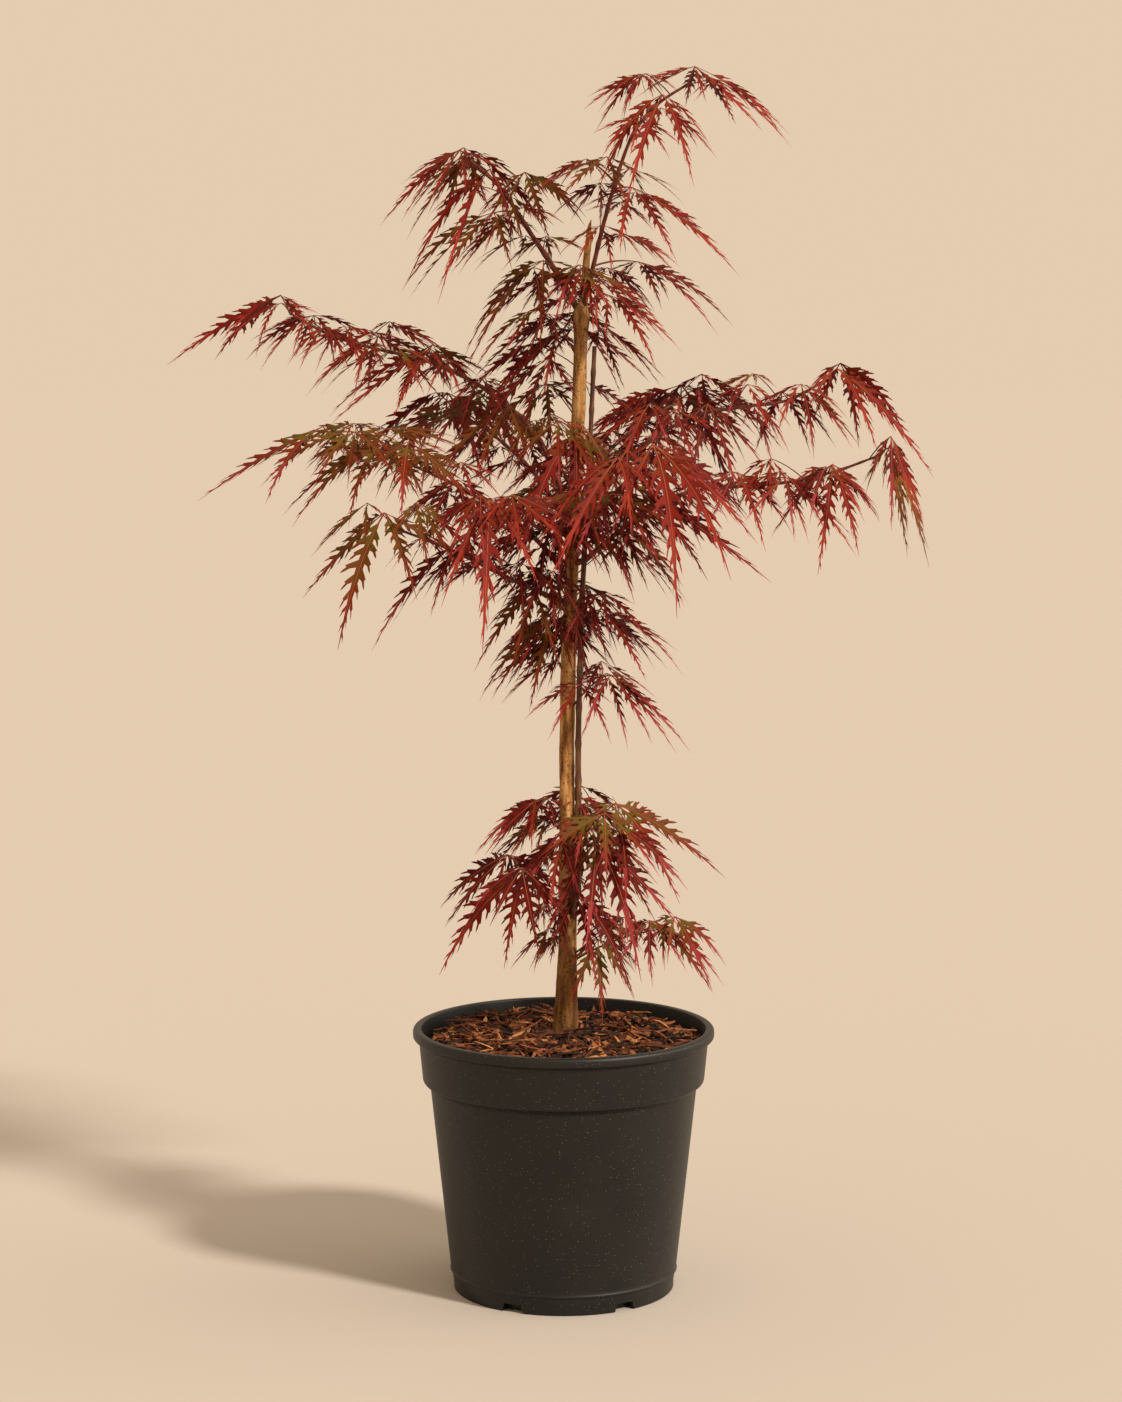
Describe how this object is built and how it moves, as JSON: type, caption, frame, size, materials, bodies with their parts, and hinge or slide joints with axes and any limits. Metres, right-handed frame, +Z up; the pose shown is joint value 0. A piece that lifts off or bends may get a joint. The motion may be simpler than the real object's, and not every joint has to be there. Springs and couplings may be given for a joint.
{
  "type": "potted cutleaf maple",
  "caption": "Young weeping cutleaf maple with a slim leaning trunk, spreading boughs and drooping sprays of red leaves, in a round nursery pot.",
  "frame": {"origin": "centre of the pot's flat underside", "axes": "+Z up along the pot and the trunk, +X to the right and -Y to the front as the plant is seen"},
  "size_m": [0.7067, 0.4525, 1.1273],
  "materials": {
    "pot": "satin",
    "mulch": "matte",
    "bark": "matte",
    "young_bark": "satin",
    "foliage": "matte"
  },
  "bodies": {
    "root": {"pot": "pot", "potting_mix": "mulch", "trunk": "bark", "side_stem": "young_bark", "bough_top_left": "young_bark", "bough_top_right": "young_bark", "bough_left_high": "young_bark", "bough_left_middle": "young_bark", "bough_left_low": "young_bark", "bough_left_front": "young_bark", "bough_right_upper": "young_bark", "bough_right_middle": "young_bark", "bough_right_front": "young_bark", "bough_back_left": "young_bark", "bough_back_right": "young_bark", "foliage_top_left_1": "foliage", "foliage_top_left_2": "foliage", "foliage_top_left_3": "foliage", "foliage_top_left_4": "foliage", "foliage_top_right_1": "foliage", "foliage_top_right_2": "foliage", "foliage_top_right_3": "foliage", "foliage_top_right_4": "foliage", "foliage_top_right_5": "foliage", "foliage_left_high_1": "foliage", "foliage_left_high_2": "foliage", "foliage_left_high_3": "foliage", "foliage_left_high_4": "foliage", "foliage_left_high_5": "foliage", "foliage_left_middle_1": "foliage", "foliage_left_middle_2": "foliage", "foliage_left_middle_3": "foliage", "foliage_left_low_1": "foliage", "foliage_left_low_2": "foliage", "foliage_left_front_1": "foliage", "foliage_right_upper_1": "foliage", "foliage_right_upper_2": "foliage", "foliage_right_upper_3": "foliage", "foliage_right_middle_1": "foliage", "foliage_right_middle_2": "foliage", "foliage_right_middle_3": "foliage", "foliage_right_front_1": "foliage", "foliage_right_front_2": "foliage", "foliage_back_left_1": "foliage", "foliage_back_right_1": "foliage", "foliage_crown_front": "foliage", "foliage_crown_left": "foliage", "foliage_crown_back": "foliage", "foliage_mid_left": "foliage", "foliage_mid_right": "foliage", "foliage_mid_back": "foliage", "foliage_mid_front": "foliage", "foliage_low_left": "foliage", "foliage_low_right": "foliage", "foliage_low_front": "foliage", "foliage_low_back": "foliage", "foliage_foot_left": "foliage", "foliage_foot_front": "foliage", "foliage_foot_right": "foliage", "foliage_foot_outer": "foliage"}
  },
  "joints": []
}
